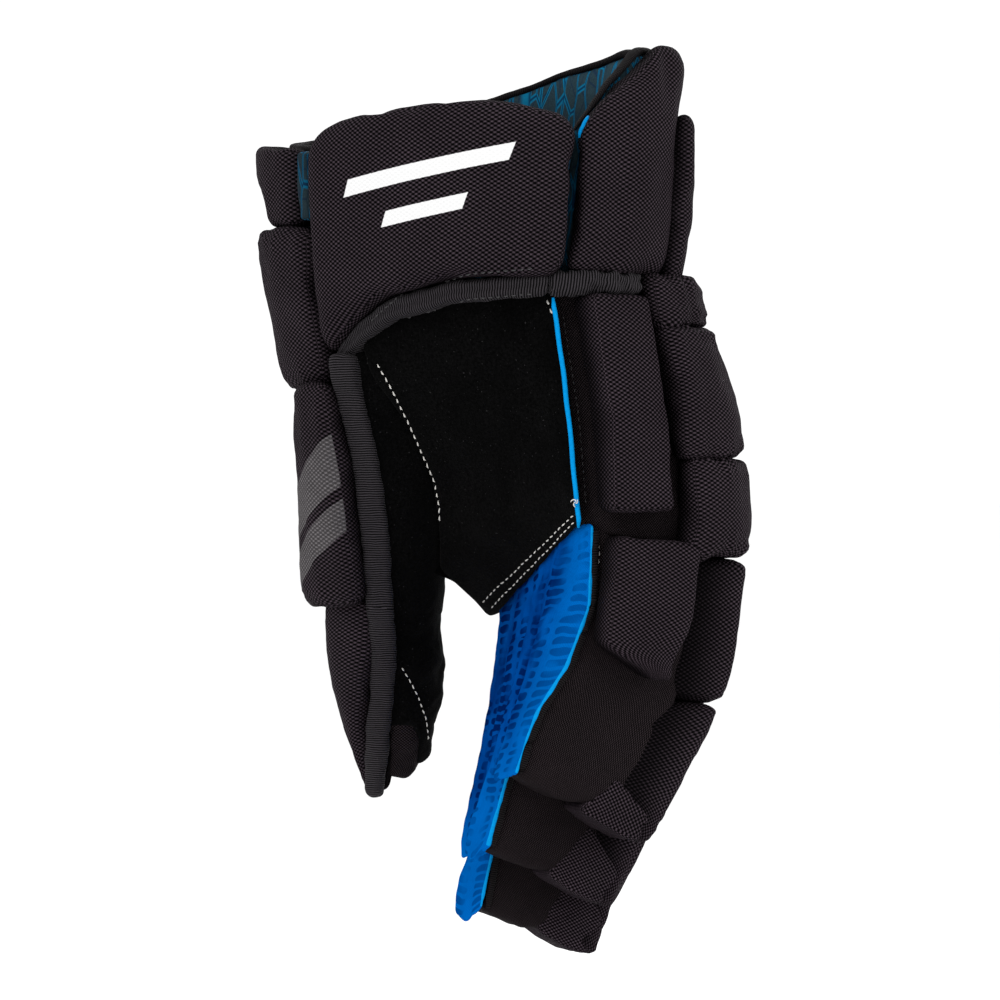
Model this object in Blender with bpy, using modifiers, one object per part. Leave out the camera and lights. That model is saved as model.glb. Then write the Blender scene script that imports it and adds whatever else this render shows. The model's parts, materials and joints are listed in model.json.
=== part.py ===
"""Ice hockey player's glove for the right hand, hanging fingers down.

Model space is metres with +Z up; the numbers below are millimetres. The origin is the middle
of the cuff opening. +X runs towards the little-finger side, +Y away from the palm side of the
cuff, and the fingers point down. Every pad, roll, liner, tape and panel is its own object.
"""

import math

import bmesh
import bpy
from mathutils import Vector

MM = 0.001

# Cuff: an oval tube round the wrist. A row of a tube is height, centre x, centre y, turn of the
# row about Z in degrees, half width, depth behind the centre and depth in front of it.
CUFF_ROWS = (
    (40, -3, 2, 27, 70, 39, 38),
    (0, -5, 0, 27, 68, 37, 36),
    (-30, -5, 0, 28, 66, 36, 35),
    (-55, -4, 2, 31, 63, 35, 33),
    (-92, -1, 5, 35, 60, 32, 31),
)
CUFF_TOP = ((-38, 3), (-20, 22), (0, 35), (45, 37), (75, 31), (100, 20), (140, 11), (180, 5), (237, 0))
CUFF_BOTTOM = -48
WING_ANGLES = (-38, 236)
FLAP_ANGLES = (241, 316)
FLAP_TOP, FLAP_CROWN = 3, 13
CUFF_PAD = 16.5
FLAP_PAD = 20

# Hand: a thick tube that turns as it goes down to the knuckles.
HAND_ROWS = (
    (-48, 20, 5, 46, 45, 34, 28),
    (-60, 24, 6, 50, 46, 34, 29),
    (-100, 38, 8, 58, 46, 34, 30),
    (-135, 47.5, 9, 65, 46, 28, 30),
    (-166, 50, 10, 72, 46, 26, 30),
)
ROLL = 17
ROLLS = (
    ("wrist_roll", 6, -50.8, -65.2, 17),
    ("back_roll_1", 10, -67, -113.5, ROLL),
    ("back_roll_2", 20, -115.5, -149, ROLL),
)

# Thumb: its row stays square to X, and it slants back from the palm.
THUMB_ROWS = (
    (-84, -36, 8, 0, 17, 21, 21),
    (-130, -33.5, 25, 0, 17.5, 21, 21),
    (-171, -33, 42, 0, 17, 19, 19),
    (-205, -29, 53, 0, 13, 15, 15),
    (-226, -30, 59, 0, 9.5, 12, 12),
    (-244, -34, 63, 0, 4, 6, 6),
)
THUMB_SPLIT = -170
THUMB_PAD = (18.8, 14)

# Fingers lie side by side in a row turned about Z. Each has three places: the knuckle, the
# middle joint and the tip. A place is (u, z) on the palm skin, then (u, z) on the back, with u
# measured backwards from the row's line.
FINGER_ORIGIN = (37.1, 6)
FINGER_TURN = 72
PITCH = 23
HALF_FINGER = 10.9
FINGER_ROLL = 22
FINGERS = {
    "pinky": (((-17, -145), (51.5, -152)), ((-30, -198), (42.5, -205)), ((-41, -233), (12, -258))),
    "ring": (((-17, -152.5), (51.5, -154)), ((-28, -204), (42.5, -211)), ((-44, -261), (5.5, -282))),
    "middle": (((-17, -160), (51.5, -156)), ((-25, -210), (42.5, -217)), ((-38, -286), (6, -302))),
    "index": (((-17, -168), (51.5, -159)), ((-22, -213), (42.5, -216)), ((-31, -267), (7, -281))),
}
PALM_SKIN = 2.6
LINER = 2.6
GAP = 0.4

COLOURS = {
    "mesh": ((0.032, 0.029, 0.032), 0.85, 0.0),
    "suede": ((0.010, 0.010, 0.010), 0.95, 0.0),
    "blue": ((0.0, 0.10, 0.60), 0.70, 0.0),
    "cyan": ((0.0, 0.33, 0.80), 0.55, 0.0),
    "lining": ((0.05, 0.09, 0.11), 0.90, 0.0),
    "tape": ((0.045, 0.042, 0.046), 0.80, 0.0),
    "plate": ((0.55, 0.55, 0.53), 0.45, 0.0),
}


def clear_scene():
    for obj in list(bpy.data.objects):
        bpy.data.objects.remove(obj)


def make_material(name):
    colour, roughness, metallic = COLOURS[name]
    material = bpy.data.materials.new(name)
    material.use_nodes = True
    shader = material.node_tree.nodes["Principled BSDF"]
    shader.inputs["Base Color"].default_value = (*colour, 1)
    shader.inputs["Roughness"].default_value = roughness
    shader.inputs["Metallic"].default_value = metallic
    return material


def lerp(a, b, t):
    return a + (b - a) * t


def interp(x, pairs):
    """Piecewise straight reading of y at x from (x, y) pairs in rising x."""
    pairs = sorted(pairs)
    if x <= pairs[0][0]:
        return pairs[0][1]
    for (x0, y0), (x1, y1) in zip(pairs, pairs[1:]):
        if x <= x1:
            return lerp(y0, y1, (x - x0) / (x1 - x0))
    return pairs[-1][1]


class Tube:
    """Level oval sections stacked along Z."""

    def __init__(self, rows, power):
        self.rows = rows
        self.power = power

    def section(self, z):
        return [interp(z, [(row[0], row[i]) for row in self.rows]) for i in range(1, 7)]

    def point(self, z, across, behind):
        x, y, turn = self.section(z)[:3]
        c, s = math.cos(math.radians(turn)), math.sin(math.radians(turn))
        return Vector((x + across * c + behind * s, y - across * s + behind * c, z))

    def at(self, z, degrees, lift):
        """The point at this height and angle, lifted off the oval. 0 is the little-finger side, 90 the back."""
        half, back, front = self.section(z)[3:]
        c, s = math.cos(math.radians(degrees)), math.sin(math.radians(degrees))
        deep = back if s > 0 else front
        x = math.copysign(abs(c) ** (2 / self.power), c) * half
        y = math.copysign(abs(s) ** (2 / self.power), s) * deep
        nx = math.copysign(abs(x / half) ** (self.power - 1), x) / half
        ny = math.copysign(abs(y / deep) ** (self.power - 1), y) / deep
        length = math.hypot(nx, ny)
        return self.point(z, x + lift * nx / length, y + lift * ny / length)


class Finger:
    """One finger: sections between three places, each square to the row."""

    def __init__(self, name, offset):
        self.name = name
        self.offset = offset
        self.places = FINGERS[name]

    def world(self, s, u, z):
        c, n = math.cos(math.radians(FINGER_TURN)), math.sin(math.radians(FINGER_TURN))
        x, y = FINGER_ORIGIN
        return Vector((x + s * c + u * n, y - s * n + u * c, z))

    def at(self, joint, along, side, rise):
        """The point along a segment (0 to 1), sideways by side and rise mm above its palm skin."""
        (p0, q0), (p1, q1) = self.places[joint : joint + 2]
        palm = Vector(p0).lerp(Vector(p1), along)
        back = Vector(q0).lerp(Vector(q1), along)
        spot = palm + (back - palm).normalized() * rise
        return self.world(self.offset + side, spot.x, spot.y)

    def depth(self, joint, along):
        (p0, q0), (p1, q1) = self.places[joint : joint + 2]
        return (Vector(q0).lerp(Vector(q1), along) - Vector(p0).lerp(Vector(p1), along)).length

    def length(self, joint):
        (p0, _), (p1, _) = self.places[joint : joint + 2]
        return (Vector(p1) - Vector(p0)).length

    def pivot(self, joint):
        u, z = self.places[joint][0]
        return self.world(self.offset, u - 1, z)


class Glove:
    """Collects the objects: each body has an empty on its joint's axis, and its pieces hang from it."""

    def __init__(self):
        self.parts = bpy.data.collections.new("hockey_glove")
        bpy.context.scene.collection.children.link(self.parts)
        self.materials = {name: make_material(name) for name in COLOURS}
        self.bodies = {"hand": (None, Vector((0, 0, 0)))}

    def add_body(self, name, parent, pivot):
        empty = bpy.data.objects.new(name + "_joint", None)
        above, origin = self.bodies[parent]
        empty.parent = above
        empty.location = (pivot - origin) * MM
        empty.empty_display_size = 0.01
        self.parts.objects.link(empty)
        self.bodies[name] = (empty, pivot)

    def add(self, name, body, material, bm, levels):
        empty, origin = self.bodies[body]
        for vert in bm.verts:
            vert.co = (vert.co - origin) * MM
        if bm.calc_volume(signed=True) < 0:
            bmesh.ops.reverse_faces(bm, faces=bm.faces)
        mesh = bpy.data.meshes.new(name)
        bm.to_mesh(mesh)
        bm.free()
        mesh.shade_smooth()
        mesh.materials.append(self.materials[material])
        obj = bpy.data.objects.new(name, mesh)
        obj.parent = empty
        self.parts.objects.link(obj)
        if levels:
            rounding = obj.modifiers.new("Rounding", "SUBSURF")
            rounding.levels = rounding.render_levels = levels
        return obj

    def block(self, name, body, material, place, across, along, levels=1):
        """A closed block. place(u, v, w) gives its points; u and v run over the loops listed, w over 0 and 1."""
        bm = bmesh.new()
        bmesh.ops.create_cube(bm, size=1)
        for axis, loops in ((0, across), (1, along)):
            if len(loops) > 2:
                cut = [e for e in bm.edges if abs((e.verts[0].co - e.verts[1].co)[axis]) > 0.01]
                bmesh.ops.subdivide_edges(bm, edges=cut, cuts=len(loops) - 2, use_grid_fill=True)
        for vert in bm.verts:
            u = across[round((vert.co.x + 0.5) * (len(across) - 1))]
            v = along[round((vert.co.y + 0.5) * (len(along) - 1))]
            vert.co = place(u, v, vert.co.z + 0.5)
        return self.add(name, body, material, bm, levels)


def loops(cells, rim=0.0):
    """Positions from 0 to 1 for a number of cells, with the first and last cell rim wide if given."""
    if not rim or cells < 3:
        return [i / cells for i in range(cells + 1)]
    inner = cells - 2
    return [0] + [rim + (1 - 2 * rim) * i / inner for i in range(inner + 1)] + [1]


def shell(tube, angles, top, bottom, inside, outside):
    """place() for a stretch of a tube's wall. top and bottom may be heights or functions of the angle."""

    def place(u, v, w):
        angle = lerp(*angles, u)
        high = top(angle) if callable(top) else top
        low = bottom(angle) if callable(bottom) else bottom
        return tube.at(lerp(high, low, v), angle, lerp(inside, outside, w))

    return place


def build_cuff(glove, cuff):
    def top(angle):
        return interp(angle, CUFF_TOP)

    def bottom(angle):
        return interp(angle, ((146, CUFF_BOTTOM), (158, -26)))

    place = shell(cuff, WING_ANGLES, lambda a: top(a) - 1, bottom, 3, CUFF_PAD)
    glove.block("cuff_pad", "cuff", "mesh", place, loops(14, 0.03), loops(3, 0.12))
    place = shell(cuff, WING_ANGLES, lambda a: top(a) - 3.2, -50, -LINER, 0.0)
    glove.block("cuff_liner", "cuff", "lining", place, loops(15), loops(2), 0)
    place = shell(cuff, WING_ANGLES, lambda a: top(a) + 2.6, lambda a: top(a) - 0.6, -LINER, 4.5)
    glove.block("cuff_top_binding", "cuff", "tape", place, loops(14), loops(1), 0)
    place = shell(cuff, (-43, -2), -49, -56, 4, 14)
    glove.block("cuff_wing_binding", "cuff", "tape", place, loops(4, 0.1), loops(1))
    place = shell(cuff, (14, 166), lambda a: interp(a, ((14, 12), (90, 4), (166, -4))), -46, CUFF_PAD + 2.6, 24.5)
    glove.block("cuff_back_roll", "cuff", "mesh", place, loops(7, 0.06), loops(3, 0.2))
    place = shell(cuff, (168, 238), -29.5, -88, 3.6, 20)
    glove.block("cuff_thumb_roll", "cuff", "mesh", place, loops(4, 0.14), loops(4, 0.12))


def flap_floor(angle):
    """The arched lower edge of the palm flap."""
    return interp(angle, ((241, -80), (252, -68), (266, -58), (285, -52), (316, -50)))


def flap_hinge(cuff):
    """The two ends of the line that the flap folds on, below the arch of its tape."""
    return cuff.at(-88, 241, 13), cuff.at(-58, 316, 13)


def build_flap(glove, cuff):
    def top(angle):
        return FLAP_TOP + FLAP_CROWN * math.sin(math.radians((angle - 236) * 180 / 96))

    place = shell(cuff, FLAP_ANGLES, top, flap_floor, 3.6, FLAP_PAD)
    glove.block("flap_pad", "flap", "mesh", place, loops(6, 0.07), loops(5, 0.07))
    place = shell(cuff, (243, 314), lambda a: top(a) - 3, lambda a: flap_floor(a) + 2, -3.8, -1.4)
    glove.block("flap_liner", "flap", "lining", place, loops(7), loops(2), 0)
    place = shell(cuff, (247, 310), lambda a: top(a) - 8, lambda a: flap_floor(a) + 8, 0, 1.4)
    glove.block("flap_plate", "flap", "plate", place, loops(7), loops(2), 0)
    place = shell(cuff, (239, 316), lambda a: flap_floor(a) - 0.6, lambda a: flap_floor(a) - 7.5, 2, 13)
    glove.block("flap_binding", "flap", "tape", place, loops(8), loops(1))


def hand_floor(angle):
    """The lower edge of the hand's wall, which climbs towards the palm side of the little finger."""
    return interp(angle, ((-52, -138), (8, -143), (60, -146)))


def build_hand(glove, hand, cuff, thumb):
    for name, start, high, low, thick in ROLLS:
        place = shell(hand, (start, 172), high, low, 6.2, 3.2 + thick)
        glove.block(name, "hand", "mesh", place, loops(7, 0.06), loops(3, 0.16))
    place = shell(hand, (24, 156), -58, -145, 1.1, 2.8)
    glove.block("hand_back_plate", "hand", "plate", place, loops(8), loops(3), 0)
    place = shell(hand, (-48, 150), -51, hand_floor, -LINER, 0)
    glove.block("hand_liner", "hand", "lining", place, loops(12), loops(3), 0)
    place = shell(hand, (-52, 8), -58, hand_floor, 1.2, 3)
    glove.block("side_panel", "hand", "mesh", place, loops(4), loops(3), 0)

    def side_pad(u, v, w):
        return hand.point(lerp(-57, -134, v), lerp(49.2, 63, w), lerp(-19, 7.5, u))

    glove.block("side_pad_upper", "hand", "mesh", side_pad, loops(4, 0.16), loops(4, 0.07))
    build_palm(glove, hand, thumb)
    build_radial_side(glove, hand, thumb, cuff)


def palm_corner(hand, z):
    return hand.point(z, 43, -31.5)


def build_palm(glove, hand, thumb):
    """The suede palm: from the corner by the little finger over the ball of the thumb to the thumb's seam."""

    def place(u, v, w):
        near = palm_corner(hand, lerp(-58.5, -137.5, v))
        far_z = lerp(-85, -146, min(1, v / 0.8))
        far = thumb.at(far_z, lerp(-90, -16, min(1, v / 0.8)), 6.4)
        if v > 0.8:
            end = hand.point(-166, -45, -31.5)
            far = thumb.at(-146, -16, 6.4).lerp(end, (v - 0.8) / 0.2)
        spot = near.lerp(far, u)
        spot.z += 11 * math.sin(math.pi * u) * max(0, 1 - 3 * v)
        outward = Vector((-0.55, -0.83, 0))
        cup = 3 * math.sin(math.pi * u) * (1 - v)
        return spot + outward * (cup + lerp(-PALM_SKIN, 0, w))

    glove.block("palm_panel", "hand", "suede", place, loops(5), loops(6), 0)
    curve = bpy.data.curves.new("palm_piping", "CURVE")
    curve.dimensions = "3D"
    curve.bevel_depth = 1.5 * MM
    curve.bevel_resolution = 2
    curve.use_fill_caps = True
    spline = curve.splines.new("POLY")
    steps = 7
    spline.points.add(steps)
    for i, point in enumerate(spline.points):
        spot = hand.point(lerp(-58, -136, i / steps), 47.0, -34.4)
        point.co = (*(spot * MM), 1)
    curve.materials.append(glove.materials["cyan"])
    glove.parts.objects.link(bpy.data.objects.new("palm_piping", curve))


def build_radial_side(glove, hand, thumb, cuff):
    """The panels that close the back of the hand to the thumb, and the web between thumb and index."""

    def radial(u, v, w):
        z = lerp(-90, -143, v)
        far = thumb.at(z, 88, 7)
        near = hand.at(z, 157, 0)
        spot = far.lerp(near, u)
        return spot + Vector((-0.35, 0.94, 0)) * (5 * math.sin(math.pi * u) + lerp(-2.6, 0, w))

    glove.block("radial_panel", "hand", "mesh", radial, loops(4), loops(3), 0)

    def web(u, v, w):
        far = thumb.at(-148, lerp(-8, 70, v), 6)
        spot = far.lerp(hand.point(lerp(-158, -147, v), -47, lerp(-27, 8, v)), u)
        return spot + Vector((0, 0, lerp(0, -2.6, w) + 3 * math.sin(math.pi * u)))

    glove.block("thumb_web", "hand", "suede", web, loops(3), loops(2), 0)
    place = shell(cuff, (92, 162), -52, -86, 0.5, 4)
    glove.block("wrist_gaiter", "hand", "mesh", place, loops(4), loops(2), 0)


def build_thumb(glove, thumb):
    upper, lower = "thumb_upper", "thumb_lower"
    place = shell(thumb, (252, 100), -90.5, THUMB_SPLIT, 4.6, THUMB_PAD[0])
    glove.block("thumb_pad_upper", upper, "mesh", place, loops(6, 0.1), loops(4, 0.08))
    place = shell(thumb, (250, 110), -96, -164, 0.4, 2.6)
    glove.block("thumb_plate", upper, "plate", place, loops(6), loops(2), 0)
    place = shell(thumb, (-84, 80), -91, THUMB_SPLIT, 0.2, 2.8)
    glove.block("thumb_palm_upper", upper, "suede", place, loops(5), loops(3), 0)
    place = shell(thumb, (-107, -86), -90.5, THUMB_SPLIT, 0.2, 6.5)
    glove.block("thumb_binding_upper", upper, "tape", place, loops(1), loops(4))
    low = THUMB_SPLIT - 2
    place = shell(thumb, (252, 100), low, -241, 0.5, THUMB_PAD[1])
    glove.block("thumb_pad_lower", lower, "mesh", place, loops(5, 0.1), loops(4, 0.1))
    place = shell(thumb, (-84, 80), low, -214, 0.2, 2.8)
    glove.block("thumb_palm_lower", lower, "suede", place, loops(5), loops(2), 0)
    place = shell(thumb, (-107, -86), low, -242, 0.2, 6)
    glove.block("thumb_binding_lower", lower, "tape", place, loops(1), loops(4))

    def cap(u, v, w):
        z = lerp(-215, -240, v)
        return thumb.at(z, lerp(-78, 78, u), lerp(-4.5, 4, w))

    glove.block("thumb_tip_cap", lower, "mesh", cap, loops(4), loops(2))


def build_finger(glove, finger):
    name = finger.name
    for joint in (0, 1):
        body = f"{name}_{joint + 1}"
        start, end = 1.2 / finger.length(joint), 1 - 1.0 / finger.length(joint)
        tip = 1 - 13 / finger.length(joint) if joint else end

        def palm(u, v, w, joint=joint, start=start, end=end):
            return finger.at(joint, lerp(start, end, v), lerp(-10.4, 10.4, u), lerp(PALM_SKIN, 0, w))

        glove.block(f"{name}_palm_{joint + 1}", body, "blue", palm, loops(2), loops(3), 0)

        def roll(u, v, w, joint=joint, start=start, end=end):
            along = lerp(start, end, v)
            deep = finger.depth(joint, along)
            return finger.at(joint, along, lerp(-HALF_FINGER, HALF_FINGER, u), deep - lerp(FINGER_ROLL, 0, w))

        glove.block(f"{name}_roll_{joint + 1}", body, "mesh", roll, loops(3, 0.2), loops(4, 0.1))

        def wall(u, v, w, joint=joint, start=start, tip=tip):
            along = lerp(start, tip, v)
            deep = finger.depth(joint, along) - FINGER_ROLL - GAP
            low = PALM_SKIN + GAP
            thick = lerp(2.4, 0, w)
            half = HALF_FINGER - thick
            side, rise = ((-half, low), (-half, deep - thick), (half, deep - thick), (half, low))[round(u * 3)]
            return finger.at(joint, along, side, rise)

        glove.block(f"{name}_wall_{joint + 1}", body, "mesh", wall, loops(3), loops(2), 0)

    body, last = f"{name}_2", finger.length(1)

    def cap(u, v, w):
        along = lerp(1 - 12.4 / last, 1 - 1 / last, v)
        deep = finger.depth(1, along) - FINGER_ROLL - GAP
        return finger.at(1, along, lerp(-HALF_FINGER, HALF_FINGER, u), lerp(PALM_SKIN + GAP, deep, w))

    glove.block(f"{name}_tip_cap", body, "mesh", cap, loops(2), loops(2))


def build_side_pad_lower(glove, pinky):
    def place(u, v, w):
        narrow = 1 - 0.35 * max(0, v - 0.6) / 0.4
        rise = 26.5 + 17 * (2 * u - 1) * narrow
        return pinky.at(0, lerp(-0.07, 0.87, v), lerp(15.2, 28, w), rise + 6 * v)

    glove.block("side_pad_lower", "pinky_1", "mesh", place, loops(4, 0.16), loops(4, 0.1))


def main():
    clear_scene()
    glove = Glove()
    cuff, hand, thumb = Tube(CUFF_ROWS, 2.3), Tube(HAND_ROWS, 2.5), Tube(THUMB_ROWS, 2.2)
    fingers = [Finger(name, (1.5 - i) * PITCH) for i, name in enumerate(FINGERS)]
    glove.add_body("cuff", "hand", Vector((61, 40, -50)))
    left, right = flap_hinge(cuff)
    glove.add_body("flap", "hand", (left + right) / 2)
    glove.add_body("thumb_upper", "hand", thumb.at(-89, 180, THUMB_PAD[0]))
    glove.add_body("thumb_lower", "thumb_upper", thumb.at(THUMB_SPLIT - 1, 0, 4))
    for finger in fingers:
        glove.add_body(f"{finger.name}_1", "hand", finger.pivot(0))
        glove.add_body(f"{finger.name}_2", f"{finger.name}_1", finger.pivot(1))
    build_cuff(glove, cuff)
    build_flap(glove, cuff)
    build_hand(glove, hand, cuff, thumb)
    build_thumb(glove, thumb)
    for finger in fingers:
        build_finger(glove, finger)
    build_side_pad_lower(glove, fingers[0])


main()
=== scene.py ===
"""Looks of the ice hockey glove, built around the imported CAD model. Lengths are millimetres."""

import json
import math

import bmesh
import bpy
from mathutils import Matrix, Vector, noise
from mathutils.bvhtree import BVHTree

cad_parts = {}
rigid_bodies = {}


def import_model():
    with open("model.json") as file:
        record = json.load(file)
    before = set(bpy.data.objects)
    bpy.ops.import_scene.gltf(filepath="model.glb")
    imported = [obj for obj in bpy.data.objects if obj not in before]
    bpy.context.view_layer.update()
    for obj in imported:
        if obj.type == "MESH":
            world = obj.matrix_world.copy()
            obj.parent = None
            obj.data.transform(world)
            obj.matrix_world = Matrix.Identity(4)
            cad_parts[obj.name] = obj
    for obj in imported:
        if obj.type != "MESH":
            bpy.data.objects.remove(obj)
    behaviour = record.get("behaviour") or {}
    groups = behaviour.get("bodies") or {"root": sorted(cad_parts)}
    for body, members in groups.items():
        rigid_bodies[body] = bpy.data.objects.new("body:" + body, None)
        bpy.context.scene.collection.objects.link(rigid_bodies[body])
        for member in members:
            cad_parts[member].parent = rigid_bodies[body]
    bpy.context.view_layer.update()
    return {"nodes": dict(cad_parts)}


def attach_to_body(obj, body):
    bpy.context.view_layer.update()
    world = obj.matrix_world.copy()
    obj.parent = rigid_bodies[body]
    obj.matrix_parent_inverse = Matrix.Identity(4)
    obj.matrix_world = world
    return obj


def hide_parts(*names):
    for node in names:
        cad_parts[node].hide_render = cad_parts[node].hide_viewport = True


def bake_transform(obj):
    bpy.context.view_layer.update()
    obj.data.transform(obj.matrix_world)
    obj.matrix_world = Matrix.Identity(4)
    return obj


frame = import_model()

MM = 0.001
TAU = 2 * math.pi

# The CAD model's tubes: height, centre x, centre y, turn, half width, depth behind, depth in front.
CUFF_ROWS = (
    (40, -3, 2, 27, 70, 39, 38),
    (0, -5, 0, 27, 68, 37, 36),
    (-30, -5, 0, 28, 66, 36, 35),
    (-55, -4, 2, 31, 63, 35, 33),
    (-92, -1, 5, 35, 60, 32, 31),
)
# The height of the cuff's top edge by angle round it.
CUFF_TOP = (
    (-38, 3), (-20, 22), (0, 35), (45, 37), (75, 31), (100, 20), (140, 11), (180, 5), (237, 0),
)
HAND_ROWS = (
    (-48, 20, 5, 46, 45, 34, 28),
    (-60, 24, 6, 50, 46, 34, 29),
    (-100, 38, 8, 58, 46, 34, 30),
    (-135, 47.5, 9, 65, 46, 28, 30),
    (-166, 50, 10, 72, 46, 26, 30),
)
THUMB_ROWS = (
    (-84, -36, 8, 0, 17, 21, 21),
    (-130, -33.5, 25, 0, 17.5, 21, 21),
    (-171, -33, 42, 0, 17, 19, 19),
    (-205, -29, 53, 0, 13, 15, 15),
    (-226, -30, 59, 0, 9.5, 12, 12),
    (-244, -34, 63, 0, 4, 6, 6),
)
THUMB_SPLIT = -170
# The fingers' common origin and the turn of the line they stand in, and the distance between them.
FINGER_ORIGIN = (37.1, 6)
FINGER_TURN = 72
PITCH = 23
# For each finger, the (forward, height) of its palm and back at the knuckle, middle joint and tip.
FINGERS = {
    "pinky": (((-17, -145), (51.5, -152)), ((-30, -198), (42.5, -205)), ((-41, -233), (12, -258))),
    "ring": (((-17, -152.5), (51.5, -154)), ((-28, -204), (42.5, -211)), ((-44, -261), (5.5, -282))),
    "middle": (((-17, -160), (51.5, -156)), ((-25, -210), (42.5, -217)), ((-38, -286), (6, -302))),
    "index": (((-17, -168), (51.5, -159)), ((-22, -213), (42.5, -216)), ((-31, -267), (7, -281))),
}


def lerp(a, b, t):
    return a + (b - a) * t


def clamp(x, low=0.0, high=1.0):
    return max(low, min(high, x))


def ease(x, low=0.0, high=1.0):
    t = clamp((x - low) / (high - low))
    return t * t * (3 - 2 * t)


def interp(x, pairs):
    """A straight-line reading of a table of (x, y) pairs."""
    pairs = sorted(pairs)
    if x <= pairs[0][0]:
        return pairs[0][1]
    for (x0, y0), (x1, y1) in zip(pairs, pairs[1:]):
        if x <= x1:
            return lerp(y0, y1, (x - x0) / (x1 - x0))
    return pairs[-1][1]


def signed_power(x, power):
    return math.copysign(abs(x) ** power, x)


def wave(*at):
    return noise.noise(Vector(at))


class Tube:
    """Level oval sections stacked along Z, as in the CAD model."""

    def __init__(self, rows, power):
        self.rows = rows
        self.power = power

    def section(self, z):
        return [interp(z, [(row[0], row[i]) for row in self.rows]) for i in range(1, 7)]

    def point(self, z, across, behind):
        x, y, turn = self.section(z)[:3]
        c, s = math.cos(math.radians(turn)), math.sin(math.radians(turn))
        return Vector((x + across * c + behind * s, y - across * s + behind * c, z))

    def at(self, z, degrees, lift):
        half, back, front = self.section(z)[3:]
        c, s = math.cos(math.radians(degrees)), math.sin(math.radians(degrees))
        deep = back if s > 0 else front
        x, y = half * signed_power(c, 2 / self.power), deep * signed_power(s, 2 / self.power)
        nx, ny = signed_power(x / half, self.power - 1) / half, signed_power(y / deep, self.power - 1) / deep
        length = math.hypot(nx, ny)
        return self.point(z, x + lift * nx / length, y + lift * ny / length)


class Finger:
    """One finger: sections between its knuckle, middle joint and tip, as in the CAD model."""

    def __init__(self, name, offset):
        self.name = name
        self.offset = offset
        self.places = FINGERS[name]

    def world(self, s, u, z):
        c, n = math.cos(math.radians(FINGER_TURN)), math.sin(math.radians(FINGER_TURN))
        x, y = FINGER_ORIGIN
        return Vector((x + s * c + u * n, y - s * n + u * c, z))

    def lines(self, joint, along):
        (p0, q0), (p1, q1) = self.places[joint : joint + 2]
        return Vector(p0).lerp(Vector(p1), along), Vector(q0).lerp(Vector(q1), along)

    def at(self, joint, along, side, rise):
        palm, back = self.lines(joint, along)
        spot = palm + (back - palm).normalized() * rise
        return self.world(self.offset + side, spot.x, spot.y)

    def length(self, joint):
        (p0, _), (p1, _) = self.places[joint : joint + 2]
        return (Vector(p1) - Vector(p0)).length

    def locate(self, distance):
        """The segment and the share along it, a distance in mm below the knuckle."""
        first = self.length(0)
        if distance < first:
            return 0, distance / first
        return 1, (distance - first) / self.length(1)

    def run(self, distance, side, rise):
        return self.at(*self.locate(distance), side, rise)

    def depth(self, distance):
        palm, back = self.lines(*self.locate(distance))
        return (back - palm).length

    @property
    def total(self):
        return self.length(0) + self.length(1)


CUFF, HAND, THUMB = Tube(CUFF_ROWS, 2.3), Tube(HAND_ROWS, 2.5), Tube(THUMB_ROWS, 2.2)


def shell(tube, angles, top, bottom, inside, outside):
    """place() for a stretch of a tube's wall. top and bottom are heights or functions of the angle."""

    def place(u, v, w):
        angle = lerp(*angles, u)
        high = top(angle) if callable(top) else top
        low = bottom(angle) if callable(bottom) else bottom
        return tube.at(lerp(high, low, v), angle, lerp(inside, outside, w))

    return place


# ---- materials


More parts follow.
